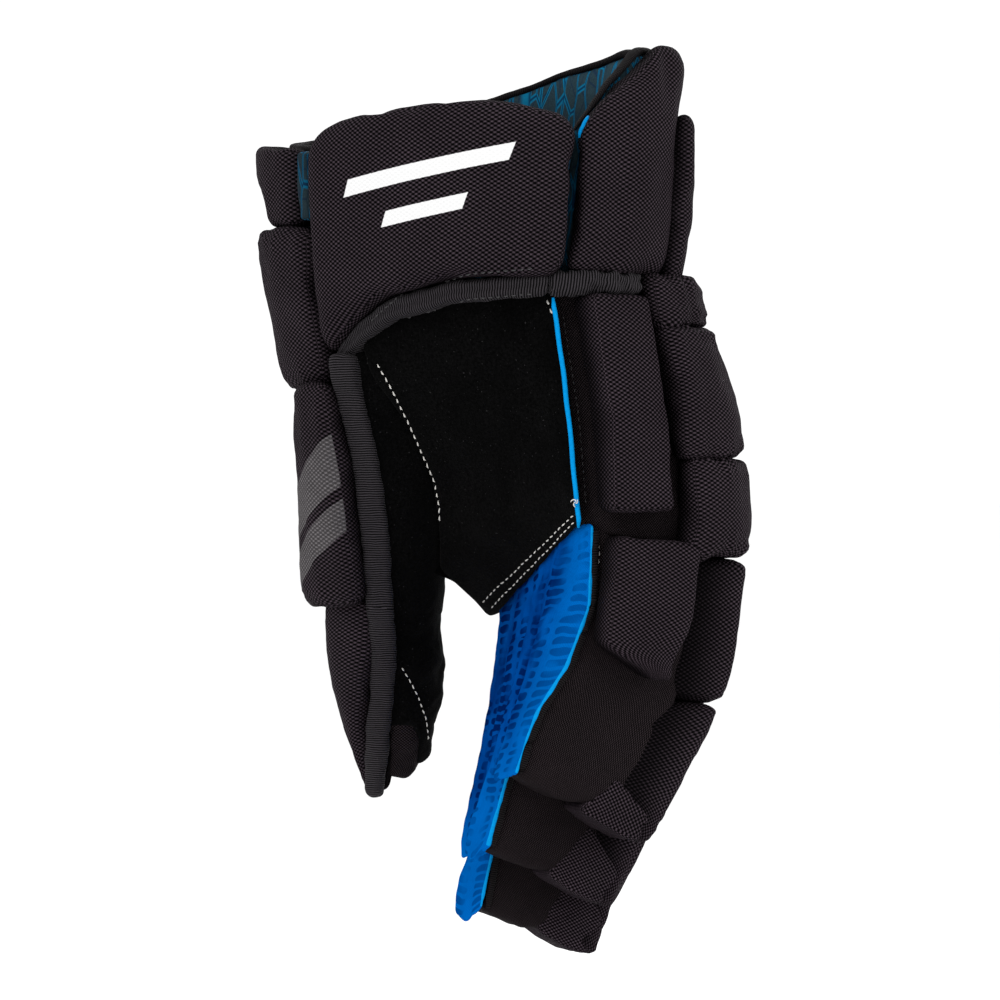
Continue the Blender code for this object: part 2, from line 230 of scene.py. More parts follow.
class Graph:
    """Short calls for a material's node tree. place is the point on the object in metres, and weave
    the cloth's own x and y in mm, from the UV map of that name."""

    def __init__(self, name):
        self.material = bpy.data.materials.new(name)
        self.material.use_nodes = True
        self.tree = self.material.node_tree
        self.place = self.node("ShaderNodeTexCoord", {}).outputs["Object"]
        cloth = self.node("ShaderNodeUVMap", {}, uv_map="weave")
        self.weave = self.node("ShaderNodeSeparateXYZ", {0: cloth.outputs[0]}).outputs[:2]

    def feed(self, node, inputs):
        """Gives each input of a node its link or its fixed value."""
        for key, value in inputs.items():
            if isinstance(value, bpy.types.NodeSocket):
                self.tree.links.new(value, node.inputs[key])
            else:
                node.inputs[key].default_value = (*value, 1) if isinstance(value, tuple) else value

    def node(self, kind, inputs, **settings):
        node = self.tree.nodes.new(kind)
        for key, value in settings.items():
            setattr(node, key, value)
        self.feed(node, inputs)
        return node

    def math(self, operation, a, b=0.0, c=0.0):
        return self.node("ShaderNodeMath", {0: a, 1: b, 2: c}, operation=operation).outputs[0]

    def times(self, a, b):
        return self.math("MULTIPLY", a, b)

    def line(self, value, slope, start):
        """slope times value, plus start."""
        return self.math("MULTIPLY_ADD", value, slope, start)

    def sine(self, value, length):
        return self.math("SINE", self.times(value, TAU / length))

    def step(self, value, low, high):
        inputs = {"Value": value, "From Min": low, "From Max": high}
        node = self.node("ShaderNodeMapRange", inputs, interpolation_type="SMOOTHSTEP", clamp=True)
        return node.outputs["Result"]

    def scale(self, value, low, high):
        inputs = {"Value": value, "To Min": low, "To Max": high}
        return self.node("ShaderNodeMapRange", inputs, clamp=True).outputs["Result"]

    def band(self, value, low, high):
        """A mask of 1 where value lies between low and high, with a slightly soft edge."""
        edge = 0.15
        past_low = self.step(value, low - edge, low + edge)
        return self.times(past_low, self.step(value, high + edge, high - edge))

    def mix(self, factor, a, b, blend="MIX"):
        inputs = {"Factor": factor, 6: a, 7: b}
        return self.node("ShaderNodeMix", inputs, data_type="RGBA", blend_type=blend).outputs[2]

    def noise(self, scale, detail=2.0, roughness=0.5):
        inputs = {"Scale": scale, "Detail": detail, "Roughness": roughness, "Vector": self.place}
        return self.node("ShaderNodeTexNoise", inputs).outputs["Fac"]

    def painted_seam_shade(self):
        """Painted shade in the seams: colour low on a padded block's sides, full on its face."""
        # Painted shade: from the depth attribute, the colour falls to a fifth towards a block's inner, sewn
        # side.
        node = self.node("ShaderNodeAttribute", {}, attribute_name="depth")
        return self.scale(self.step(node.outputs["Fac"], 0.25, 0.97), 0.2, 1.0)

    def cells(self, wide, tall):
        """The distance from the edges of cells of about this size in mm on the cloth."""
        x, y = self.weave
        spot = self.node("ShaderNodeCombineXYZ", {0: self.times(x, 1 / wide), 1: self.times(y, 1 / tall)})
        inputs = {"Scale": 1.0, "Vector": spot.outputs[0]}
        return self.node("ShaderNodeTexVoronoi", inputs, feature="DISTANCE_TO_EDGE").outputs["Distance"]

    def finish(self, colour, height, distance, roughness, sheen, sheen_roughness, specular, strength):
        relief = {"Strength": strength, "Distance": distance * MM, "Height": height}
        self.feed(self.tree.nodes["Principled BSDF"], {
            "Base Color": colour, "Roughness": roughness, "Sheen Weight": sheen,
            "Sheen Roughness": sheen_roughness, "Specular IOR Level": specular,
            "Normal": self.node("ShaderNodeBump", relief).outputs[0],
        })
        return self.material


def knit(name, pitch, row, thread, hole, size=(-0.6, 0.28), padded=True, prints=None):
    """A warp-knit mesh: rows of small holes, each row half a pitch along from the last."""
    g = Graph(name)
    x, y = g.weave
    drift = g.noise(260, 1)
    wide = g.line(drift, 0.5, x)
    tall = g.line(drift, -0.4, y)
    across = g.sine(wide, pitch)
    across = g.times(across, g.line(g.times(across, across), 0.6, 0.4))
    down = g.sine(tall, 2 * row)
    holes = g.step(g.times(across, down), *size)
    fuzz = g.noise(2600, 2, 0.7)
    tone = g.scale(g.noise(45, 3), 0.7, 1.3)
    tone = g.times(tone, g.scale(fuzz, 0.0, 2.0))
    # Painted shade on padded pieces: tone darkens towards each block's sides, and the prints take it too.
    if padded:
        tone = g.times(tone, g.painted_seam_shade())
    threads = g.mix(1.0, thread, tone, "MULTIPLY")
    if prints:
        threads, covered = prints(g, threads, tone)
        holes = g.times(holes, covered)
    colour = g.mix(holes, threads, hole)
    height = g.line(fuzz, 0.35, g.math("SUBTRACT", 1.0, holes))
    return g.finish(colour, height, 0.32, 0.8, 0.0, 0.5, 0.02, 0.9)


def suede(name, colour, bright):
    g = Graph(name)
    nap = g.step(g.noise(1000, 4, 0.75), 0.3, 0.75)
    patch = g.noise(60, 3)
    fleck = g.step(g.noise(1500, 0), 0.80, 0.86)
    shade = g.mix(g.times(nap, patch), colour, bright)
    shade = g.mix(g.times(fleck, 0.5), shade, tuple(8 * c for c in bright))
    return g.finish(shade, g.line(patch, 1.5, nap), 0.22, 0.95, 0.01, 0.5, 0.02, 0.6)


def ribbed(name, colour, dark, pitch=0.95):
    """Grosgrain tape: fine ribs square to its length."""
    g = Graph(name)
    x, _ = g.weave
    drift = g.noise(180, 1)
    rib = g.step(g.sine(g.line(drift, 0.6, x), pitch), -0.8, 0.6)
    tone = g.scale(g.noise(1500, 2, 0.7), 0.6, 1.4)
    shade = g.mix(rib, dark, g.mix(1.0, colour, tone, "MULTIPLY"))
    return g.finish(shade, rib, 0.35, 0.75, 0.02, 0.4, 0.03, 0.9)


def plain(name, colour, roughness=0.6, grain=1500, distance=0.1, sheen=0.0, specular=0.5):
    g = Graph(name)
    fine = g.noise(grain, 3, 0.6)
    shade = g.mix(fine, tuple(0.7 * c for c in colour), tuple(1.2 * c for c in colour))
    return g.finish(shade, fine, distance, roughness, sheen, 0.4, specular, 0.5)


def blue_fabric():
    """Blue stretch mesh with a darker print: rows of rounded blocks that fade towards the side seam."""
    g = Graph("blue_print_mesh")
    x, y = g.weave
    drift, sway = g.noise(38, 1), g.noise(61, 2)
    y = g.line(x, 0.13, y)
    marks = []
    for value, shift, pitch in ((x, drift, 15.0), (y, sway, 3.9)):
        moved = g.line(shift, 1.4 * pitch, value)
        part = g.math("FRACT", g.math("DIVIDE", moved, pitch))
        off = g.math("ABSOLUTE", g.line(part, 2.0, -1.0))
        marks.append(g.math("POWER", off, 3.0))
    mark = g.step(g.math("ADD", *marks), 0.42, 0.24)
    strength = g.step(g.noise(75, 1), 0.30, 0.55)
    mark = g.times(mark, strength)
    line = g.times(g.sine(x, 0.9), g.sine(y, 1.0))
    bright = g.math("MAXIMUM", g.step(x, 20, 44), g.times(g.step(y, 62, 96), 0.9))
    base = g.mix(g.step(g.noise(60, 3), 0.3, 0.7), (0.0, 0.030, 0.18), (0.0, 0.070, 0.34))
    base = g.mix(g.times(bright, 0.75), base, (0.0, 0.135, 0.50))
    shade = g.mix(g.times(mark, g.scale(bright, 0.95, 0.45)), base, (0.0, 0.009, 0.075))
    shade = g.mix(g.scale(line, 0.0, 0.3), shade, (0.0, 0.03, 0.2))
    return g.finish(shade, line, 0.15, 0.7, 0.0, 0.4, 0.0, 0.6)


def lining_fabric():
    """Slate lining with long blue crackle lines."""
    g = Graph("crackle_lining")
    long_cells = g.cells(4.4, 19.0)
    broad = g.step(long_cells, 0.085, 0.05)
    thin = g.step(g.cells(2.8, 11.0), 0.05, 0.015)
    fuzz = g.noise(1400, 2, 0.7)
    base = g.mix(g.noise(60, 3), (0.009, 0.026, 0.038), (0.026, 0.050, 0.060))
    base = g.mix(1.0, base, g.scale(fuzz, 0.5, 1.5), "MULTIPLY")
    shade = g.mix(g.times(thin, 0.8), base, (0.006, 0.02, 0.045))
    shade = g.mix(broad, shade, (0.0, 0.13, 0.25))
    shade = g.mix(g.step(long_cells, 0.035, 0.015), shade, (0.0, 0.03, 0.08))
    # Painted shade: the lining is brighter near its top edge and darker further down inside the glove.
    shade = g.mix(1.0, shade, g.scale(g.step(g.weave[1], -36, -8), 1.25, 0.5), "MULTIPLY")
    return g.finish(shade, g.math("SUBTRACT", fuzz, broad), 0.18, 0.85, 0.02, 0.5, 0.08, 0.7)


# The coarse mesh of the pads: pitch and row height in mm, colour of the thread and of the holes.
COARSE = 2.3, 0.78, (0.050, 0.0375, 0.0465), (0.0004, 0.0003, 0.0004)


def flap_bars(g, threads, _tone):
    """Two plain white bars, slanted on the cloth."""
    x, y = g.weave
    down, across = g.line(x, 0.19, y), g.line(y, 0.3, x)
    long_bar = g.times(g.band(down, 8.8, 14.8), g.band(across, -23.5, 34.5))
    short_bar = g.times(g.band(down, 23.5, 29.0), g.band(across, -4, 25))
    mask = g.math("MAXIMUM", long_bar, short_bar)
    return g.mix(mask, threads, (0.80, 0.80, 0.80)), g.scale(mask, 1.0, 0.15)


def thumb_bars(g, threads, tone):
    """Plain grey slanted stripes on the thumb's pad."""
    x, y = g.weave
    down = g.line(x, -0.73, y)
    mask = g.math("MAXIMUM", g.band(down, 132, 151), g.band(down, 155.5, 168))
    return g.mix(mask, threads, g.mix(1.0, (0.135, 0.125, 0.13), tone, "MULTIPLY")), g.scale(mask, 1.0, 0.7)


MATERIAL = {
    "mesh": knit("coarse_mesh", *COARSE),
    "mesh_flap": knit("flap_mesh", *COARSE, prints=flap_bars),
    "mesh_thumb": knit("thumb_mesh", *COARSE, prints=thumb_bars),
    "fine": knit("fine_knit", 0.95, 0.6, (0.0285, 0.0217, 0.0243), (0.0004, 0.0003, 0.0003), (-0.6, 0.38),
                 padded=False),
    "suede": suede("black_suede", (0.0003, 0.0003, 0.0003), (0.0052, 0.0050, 0.0052)),
    "blue": blue_fabric(),
    "cyan": plain("cyan_edge", (0.0, 0.25, 0.62), 0.6, 900, 0.15, 0.0, 0.03),
    "lining": lining_fabric(),
    "tape": ribbed("grosgrain_tape", (0.036, 0.032, 0.036), (0.0012, 0.0011, 0.0012)),
    "edge": ribbed("dark_edge_tape", (0.012, 0.010, 0.011), (0.002, 0.002, 0.002), 0.8),
    "thread": plain("white_thread", (0.62, 0.60, 0.56), 0.7, 3000, 0.05),
    "dark_thread": plain("dark_thread", (0.03, 0.028, 0.03), 0.7, 3000, 0.05),
    "plate": plain("moulded_insert", (0.5, 0.5, 0.48), 0.45, 400, 0.05),
}

# ---- pieces


def arc(place, axis):
    """The length of the block's middle line along one axis."""
    samples = 12
    line = [place(*(i / samples if a == axis else 0.5 for a in range(3))) for i in range(samples + 1)]
    return sum((b - a).length for a, b in zip(line, line[1:]))


def spread(place):
    """A function of u that gives the distance along the block's middle line, from its centre."""
    samples = 120
    line = [place(i / samples, 0.5, 0.5) for i in range(samples + 1)]
    runs = [0.0]
    for a, b in zip(line, line[1:]):
        runs.append(runs[-1] + (b - a).length)

    def along(u):
        x = clamp(u) * samples
        i = min(samples - 1, int(x))
        return lerp(runs[i], runs[i + 1], x - i) - runs[-1] / 2

    return along


def rounded(co, size, radius):
    """A point of a box of this size with its edges rounded."""
    reach = Vector(s / 2 - min(radius, 0.49 * s) for s in size)
    core = Vector(clamp(c, -r, r) for c, r in zip(co, reach))
    over = co - core
    if over.length < 1e-9:
        return co
    limit = Vector(s / 2 - r for s, r in zip(size, reach))
    unit = over.normalized()
    return core + Vector(u * m for u, m in zip(unit, limit))


def face_out(bm):
    if bm.calc_volume(signed=True) < 0:
        bmesh.ops.reverse_faces(bm, faces=bm.faces)


def stand(name, data, spot=(0, 0, 0)):
    """An object of this data in the scene, at a place in metres."""
    obj = bpy.data.objects.new(name, data)
    obj.location = spot
    bpy.context.scene.collection.objects.link(obj)
    return obj


def make_object(name, bm, *materials):
    """A smooth object in the scene, in the slot of its first material."""
    mesh = bpy.data.meshes.new(name)
    bm.to_mesh(mesh)
    bm.free()
    mesh.shade_smooth()
    for each in materials:
        mesh.materials.append(MATERIAL[each])
    obj = stand(name, mesh)
    return obj


def attach(obj, body, bend=None, node=None):
    """Puts a piece on its body, or leaves a piece that spans the joint of two fixed where it stands, and in
    place of its CAD node.
    """
    if bend:
        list(body)
        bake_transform(obj)
    else:
        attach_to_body(obj, body)
    if node:
        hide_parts(node)


def flat_uv(bm, layer, cloth, shift):
    """Lays each face flat along the two cloth directions that it faces least."""
    for face in bm.faces:
        ps = [v[cloth] for v in face.verts]
        normal = (ps[1] - ps[0]).cross(ps[-1] - ps[0])
        axis = max(range(3), key=lambda i: abs(normal[i]) * (1.15 if i == 2 else 1))
        for loop in face.loops:
            x, y, z = loop.vert[cloth]
            flat = ((z + 500, y), (x, z + 500), (x, y))[axis]
            loop[layer].uv = (flat[0] + shift[0], flat[1] + shift[1])


def block(name, place, material, radius=3.0, step=3.0, crown=0.0, shape=None, shift=(0, 0), thick=None,
          chart=None):
    """A closed soft block through place(u, v, w), with rounded edges and a crowned outer face.
    chart gives the cloth coordinates: "upright" for rows level with the ground, "turned" for tape
    that runs down instead of across, or a function of u, v, w."""
    size = [arc(place, axis) for axis in range(3)]
    cells = [max(2, round(s / step)) for s in size]
    cells[2] = thick or min(6, cells[2])
    bm = bmesh.new()
    bmesh.ops.create_cube(bm, size=1)
    for axis in range(3):
        cut = [e for e in bm.edges if abs((e.verts[0].co - e.verts[1].co)[axis]) > 0.5]
        bmesh.ops.subdivide_edges(bm, edges=cut, cuts=cells[axis] - 1, use_grid_fill=True)
    spot = bm.verts.layers.float_vector.new("spot")
    cloth = bm.verts.layers.float_vector.new("cloth")
    depth = bm.verts.layers.float.new("depth")
    along = spread(place)
    for vert in bm.verts:
        co = rounded(Vector(c * s for c, s in zip(vert.co, size)), size, radius)
        vert[spot] = co
        u, v, w = (c / s + 0.5 for c, s in zip(co, size))
        # depth is the mask of the knit's painted seam shade: w, or 1 (no shade) for pieces with a chart
        # function.
        vert[depth] = 1.0 if callable(chart) else w
        w += crown / size[2] * 16 * u * (1 - u) * v * (1 - v) * w
        if shape:
            w += shape(u, v, w) / size[2]
        at = place(u, v, w)
        x = along(u)
        charts = {None: (x, co.y, co.z), "upright": (x, -at.z, co.z), "turned": (co.y, x, co.z)}
        vert[cloth] = chart(u, v, w) if callable(chart) else charts[chart]
        vert.co = at * MM
    flat_uv(bm, bm.loops.layers.uv.new("weave"), cloth, shift)
    face_out(bm)
    obj = make_object(name, bm, *(material if isinstance(material, tuple) else (material,)))
    obj["size"] = size
    return obj


def spots(obj):
    """The block's own coordinates of each vertex, in mm."""
    return [Vector(each.vector) for each in obj.data.attributes["spot"].data]


def refine(obj):
    """Rounds a piece off with one level of subdivision, applied."""
    rounding = obj.modifiers.new("Rounding", "SUBSURF")
    rounding.levels = rounding.render_levels = 1
    graph = bpy.context.evaluated_depsgraph_get()
    final = obj.evaluated_get(graph)
    mesh = bpy.data.meshes.new_from_object(final, preserve_all_data_layers=True, depsgraph=graph)
    obj.modifiers.clear()
    old = obj.data
    obj.data = mesh
    bpy.data.meshes.remove(old)
    obj.data.name = obj.name


def ruffle(obj, amount):
    """Moves each vertex along its normal by amount(point in mm, own coordinates in mm)."""
    normals = [v.normal.copy() for v in obj.data.vertices]
    for vert, normal, at in zip(obj.data.vertices, normals, spots(obj)):
        vert.co += normal * (amount(vert.co / MM, at) * MM)
    obj.data.update()


def uneven(low=0.5, fine=0.18, span=16, small=4.5):
    """Soft lumps of height low and width span, with small ones of height fine on them."""

    def amount(co, _):
        return low * wave(*co / span) + fine * wave(*co / small)

    return amount


PIECES = []


def piece(name, node, body, material, place, radius=3.0, step=3.0, crown=0.0, fill=None, shape=None,
          bend=None, rough=None, shift=(0, 0), thick=None, puff=None, chart=None):
    """Builds a soft piece and notes how it moves; its last touches come after the simulation."""
    obj = block(name, place, material, radius, step, crown, shape, shift, thick, chart)
    PIECES.append((obj, node, body, fill, bend, rough or uneven(), puff))
    return obj


# Pressure in a pad and the slack of its cloth, for pads stuffed loosely, tautly and hardly at all,
# and the most that any pad may swell, in mm.
STUFFED = 4.5, 0.03
TAUT = 4.5, 0.02
SLIM = 2.0, 0.01
SWELL = 2.2
CLOTH = {
    "quality": 4, "mass": 0.2, "tension_stiffness": 12, "compression_stiffness": 12, "shear_stiffness": 5,
    "bending_stiffness": 0.6, "use_pressure": True, "vertex_group_mass": "sewn",
}


def simulate():
    """Swells the stuffed pieces with cloth under a light pressure, the side sewn to the glove held still."""
    chosen = [(obj, puff) for obj, _, _, _, _, _, puff in PIECES if puff]
    rest = {}
    for obj, puff in chosen:
        pressure, slack = puff
        sewn_below = -0.55 * obj["size"][2] / 2
        group = obj.vertex_groups.new(name="sewn")
        for i, at in enumerate(spots(obj)):
            if at.z < sewn_below:
                group.add([i], 1.0, "REPLACE")
        settings = obj.modifiers.new("Cloth", "CLOTH").settings
        for key, value in CLOTH.items():
            setattr(settings, key, value)
        settings.uniform_pressure_force = pressure
        settings.shrink_min = -slack
        settings.effector_weights.gravity = 0
        rest[obj.name] = [v.co.copy() for v in obj.data.vertices]
    scene = bpy.context.scene
    for step in range(1, 15):
        scene.frame_set(step)
    graph = bpy.context.evaluated_depsgraph_get()
    for obj, _ in chosen:
        swollen = [v.co.copy() for v in obj.evaluated_get(graph).data.vertices]
        obj.modifiers.clear()
        for vert, old, new in zip(obj.data.vertices, rest[obj.name], swollen):
            move = new - old
            if move.length > SWELL * MM:
                move *= SWELL * MM / move.length
            vert.co = old + move
    scene.frame_set(1)


def settle():
    """Rounds each piece off, adds its unevenness and puts it on its body."""
    for obj, node, body, fill, bend, rough, _ in PIECES:
        refine(obj)
        ruffle(obj, rough)
        attach(obj, body, bend, node)


# ---- cuff and flap


def rim(lift):
    """The cuff's top edge moved up by lift, as a height for each angle."""
    return lambda angle: interp(angle, CUFF_TOP) + lift


def dent(at, width, depth, axis=0):
    """A sewn crease across the block at a place from 0 to 1."""

    def shape(u, v, w):
        t = ((u, v)[axis] - at) / width
        return -depth * math.exp(-t * t) * w

    return shape


def both(*shapes):
    return lambda u, v, w: sum(s(u, v, w) for s in shapes)


def puckers(edges, reach=7.0, depth=1.2):
    """Short wrinkles that run square to the seams at the block's ends, and a few folds along them."""

    def amount(co, at):
        near = min(abs(at.y - e) for e in edges)
        mask = math.exp(-((near / reach) ** 2))
        short = wave(at.x / 3.6, at.y / (reach * 1.6), edges[0])
        fold = wave(at.x / 22, at.y / 2.6, edges[1])
        return depth * mask * (short + 0.7 * fold) + 0.7 * wave(*co / 14) + 0.2 * wave(*co / 4)

    return amount


# The angles at which the cuff's main pad starts and ends, and those of its two creases.
WING = -35.8, 230.5
CREASES = -20, 1


def build_wing():
    def low(angle):
        return interp(angle, ((146, -48.5), (158, -28.6)))

    wing = shell(CUFF, WING, rim(-0.4), low, 0.6, 13.6)

    def place(u, v, w):
        angle = lerp(*WING, u)
        slim = 1 - 0.5 * ease(angle, 158, 182) * (1 - ease(angle, 196, 214)) * ease(v, 0.3, 0.95)
        return wing(u, v, w * slim)

    sharp, soft = ((angle - WING[0]) / (WING[1] - WING[0]) for angle in CREASES)
    creases = both(dent(sharp, 0.009, 2.2), dent(soft, 0.014, 1.0))

    def folds(co, _):
        return 1.3 * wave(co.x / 17, co.y / 17, co.z / 30) + 0.35 * wave(*co / 6) + 0.12 * wave(*co / 2.6)

    piece("cuff_wing", "cuff_pad", "cuff", "mesh", place, 7.5, 3.4, 0.0, 0.6, creases, thick=5,
          puff=STUFFED, chart="upright", rough=folds)


def build_cuff():
    build_wing()
    slack = uneven(0.8, 0.3, 14, 5)
    place = shell(CUFF, (-37.5, 236), rim(-1.4), -51, -2.8, 1.2)
    piece("cuff_lining", "cuff_liner", "cuff", "lining", place, 1.6, 3.4, rough=slack, chart="upright")
    place = shell(CUFF, (230.8, 237), rim(-1.5), -27, 1.0, 11.5)
    piece("cuff_lining_end", None, "cuff", "lining", place, 1.6, 2.4, rough=slack, chart="upright")
    place = shell(CUFF, (-36.5, 235), rim(0.9), rim(-2.4), -3.4, 2.0)
    piece("cuff_top_edge", "cuff_top_binding", "cuff", "edge", place, 1.8, 2.4)
    place = shell(CUFF, (-42, -1), -47.2, -56, 2.6, 13.4)
    piece("wing_edge_tape", "cuff_wing_binding", "cuff", "tape", place, 3.6, 1.5,
          rough=uneven(1.3, 1.1, 8, 2.6))
    place = shell(CUFF, (12, 167), lambda a: interp(a, ((14, 12), (90, 4), (166, -4))), -51.5, 11.5, 20.2)
    piece("back_cuff_roll", "cuff_back_roll", "cuff", "mesh", place, 5.0, 3.2, 0.5, 0.7, thick=4,
          puff=STUFFED, chart="upright")
    place = shell(CUFF, (168, 238.5), -28.8, -88.5, 2.2, 16.2)
    piece("thumb_side_roll", "cuff_thumb_roll", "cuff", "mesh", place, 8.5, 3.0, 0.6, 0.7, thick=5,
          rough=puckers((-28, 28)), puff=STUFFED, chart="upright")


def hem(lift):
    """The flap's lower edge moved up by lift, as a height for each angle."""
    return lambda angle: interp(angle, ((241, -80), (252, -68), (266, -58), (285, -52), (316, -50))) + lift


def build_flap():
    def top(angle):
        start, width, rise = 236, 96, 12.6
        return 2 + rise * math.sin(math.pi * (angle - start) / width)

    place = shell(CUFF, (240.5, 322.2), top, hem(0.5), 2.2, 18.6)
    piece("palm_flap", "flap_pad", "flap", "mesh_flap", place, 9.0, 3.0, 0.8, 0.75, thick=6, puff=TAUT,
          chart="upright")
    place = shell(CUFF, (238, 321), lambda a: top(a) - 3, hem(2), -3.8, 2.4)
    piece("flap_lining", "flap_liner", "flap", "lining", place, 1.6, 3.4)
    place = shell(CUFF, (238, 318.5), hem(1.8), hem(-6.4), 2.2, 12.8)
    piece("flap_edge_tape", "flap_binding", "flap", "tape", place, 3.6, 1.5,
          shape=dent(0.5, 0.12, 1.5, 1), rough=uneven(0.6, 0.4, 8, 2.5), thick=5)


# ---- hand and palm


# Where cloth starts to leave one body and has joined the next: from the hand to the thumb, from the
# hand to the cuff, and over the thumb's tip joint.
TO_THUMB = Vector((9, 0, -110)), Vector((-16, 0, -110))
TO_CUFF = Vector((0, 0, -86)), Vector((0, 0, -50))
TO_THUMB_TIP = Vector((0, 0, -161)), Vector((0, 0, -181))


def hand_floor(angle):
    return interp(angle, ((-52, -138), (8, -143), (60, -146)))


def build_hand():
    rolls = (
        ("wrist_back_roll", "wrist_roll", 1, -46.8, -67.2, 16.8, 9, 1.9),
        ("back_hand_roll_upper", "back_roll_1", 3, -65.2, -115.4, 17.2, 8, 1.5),
        ("back_hand_roll_lower", "back_roll_2", 5, -113.8, -151.5, 17.4, 8, 1.5),
    )
    for name, node, start, high, low, outside, reach, depth in rolls:
        place = shell(HAND, (start, 172.5), high, low, 3.6, outside)
        half = (high - low) / 2
        piece(name, node, "hand", "mesh", place, 5.2, 2.6, 1.2, 0.7, thick=5,
              rough=puckers((-half, half), reach, depth), puff=STUFFED)
    place = shell(HAND, (-50, 152), -49, lambda a: hand_floor(a) - 2, -2.6, 0.2)
    piece("hand_lining", "hand_liner", "hand", "lining", place, 1.2, 4.0)
    place = shell(HAND, (-53, 174), -48.5, lambda a: hand_floor(a) - 3, 0.2, 4.4)
    piece("hand_side_fabric", "side_panel", "hand", "fine", place, 1.8, 3.2, rough=uneven(0.8, 0.35, 13, 4))

    def side_pad(u, v, w):
        left = lerp(lerp(-25.5, -27.0, v), lerp(-28.0, -26.0, v), w)
        return HAND.point(lerp(-55.5, -134, v), lerp(46.5, 61.6, w), lerp(left, lerp(1.2, -0.5, v), u))

    piece("side_pad_hand", "side_pad_upper", "hand", "mesh", side_pad, 3.4, 2.2, 0.6, 0.8, thick=5,
          rough=puckers((-39, 39), 4, 0.4), puff=SLIM)
    build_palm()
    build_radial_side()


# The palm's edge on the thumb: its angle round the thumb by height.
PALM_EDGE = ((-156, -38), (-138, -38), (-123, -46), (-102, -71), (-84, -98), (-70, -107), (-61, -114))


def palm_place(u, v, w):
    near = HAND.point(lerp(-56, -137.5, v), 43.4, -31.5)
    corner = 0.8
    far_z = lerp(-61, -156, min(1, v / corner))
    far = THUMB.at(far_z, interp(far_z, PALM_EDGE), 5.4)
    if v > corner:
        far = far.lerp(HAND.point(-174.8, -46.5, -32.5), (v - corner) / (1 - corner))
    spot = near.lerp(far, u)
    spot.z += 13 * math.sin(math.pi * u) * max(0, 1 - 3 * v)
    outward = Vector((-0.55, -0.83, 0))
    cup = 3 * math.sin(math.pi * u) * (1 - v)
    return spot + outward * (cup + lerp(-3.4, 0.4, w))


def build_palm():
    def rough(co, at):
        return 0.6 * wave(at.x / 9, at.y / 30, 3) + 0.5 * wave(*co / 14)

    piece("palm_suede", "palm_panel", ("hand", "thumb_upper"), "suede", palm_place, 1.6, 2.6, rough=rough,
          bend=TO_THUMB)
    steps = 26
    path = []
    for i in range(steps + 1):
        t = i / steps
        sway = 0.5 * math.sin(9 * t) + 0.25 * math.sin(23 * t)
        path.append(HAND.point(lerp(-57, -140, t), 46.2 + sway, lerp(-34.0, -32.5, ease(t, 0.9, 1))))
    tube("palm_edge_piping", path, 0.9, "cyan", "hand", "palm_piping")


def build_radial_side():
    def radial(u, v, w):
        z = lerp(-82, -156, v)
        far = THUMB.at(z, 97, 5)
        near = HAND.at(z, 150, 1)
        spot = far.lerp(near, u)
        bulge = lerp(8, 5, ease(v, 0, 0.4)) * math.sin(math.pi * u)
        return spot + Vector((-0.35, 0.94, 0)) * (bulge + lerp(-3, 0.6, w))

    piece("radial_fabric", "radial_panel", ("hand", "thumb_upper"), "fine", radial, 1.6, 3.0, bend=TO_THUMB)

    def web(u, v, w):
        far = THUMB.at(-156, lerp(-40, 86, v), 2.4)
        spot = far.lerp(HAND.point(lerp(-174.5, -153, v), -47.5, lerp(-33, 14, v)), u)
        return spot + Vector((0, 0, lerp(2.2, -2.2, w) + 3.4 * math.sin(math.pi * u)))

    piece("thumb_crotch", "thumb_web", ("hand", "thumb_upper"), "suede", web, 1.8, 2.6, bend=TO_THUMB)

    def gusset(u, v, w):
        angle = lerp(88, 248, u)
        tuck = 7 * ease(v, 0.5, 1) * (1 - ease(abs(angle - 134), 28, 50))
        return CUFF.at(lerp(-46, -95, v), angle, lerp(-0.4, 4.4, w) - tuck)

    piece("wrist_gusset", "wrist_gaiter", ("hand", "cuff"), "fine", gusset, 1.8, 3.2, bend=TO_CUFF)

    def wrist(u, v, w):
        top = CUFF.at(-46, lerp(-58, 112, u), lerp(-1.6, 0.8, w))
        return top.lerp(HAND.at(-78, lerp(-53, 150, u), lerp(-2.2, 0, w)), v)

    bend = Vector((0, 0, -76)), Vector((0, 0, -48))
    piece("wrist_fabric", None, ("hand", "cuff"), "fine", wrist, 1.0, 3.2, bend=bend)


# ---- thumb


# The angle of the taped seam's middle and its half width, at heights down the thumb.
THUMB_SEAM = (
    (-76, -121), (-80, -120), (-91, -118), (-115, -107), (-139, -102), (-172, -99),
    (-188, -102), (-206, -114), (-231, -131), (-245, -134),
)
THUMB_TAPE = ((-80, 13), (-172, 12.5), (-206, 15), (-231, 22), (-245, 26))


def seam_tape(high, low, lift):
    """place() for tape down the thumb's seam; lift gives its outer height from v."""

    def place(u, v, w):
        z = lerp(high, low, v)
        angle = interp(z, THUMB_SEAM) + interp(z, THUMB_TAPE) * (2 * u - 1)
        return THUMB.at(z, angle, lerp(0.2, lift(v), w))

    return place


def thumb_pad(high, low, inside, outside):
    """place() for a pad round the thumb's outer side, from under the seam tape to the back."""

    def place(u, v, w):
        z = lerp(high, low, v)
        start = 360 + interp(z, THUMB_SEAM) - interp(z, THUMB_TAPE) + 4
        return THUMB.at(z, lerp(start, 98, u), lerp(inside, outside, w))

    return place


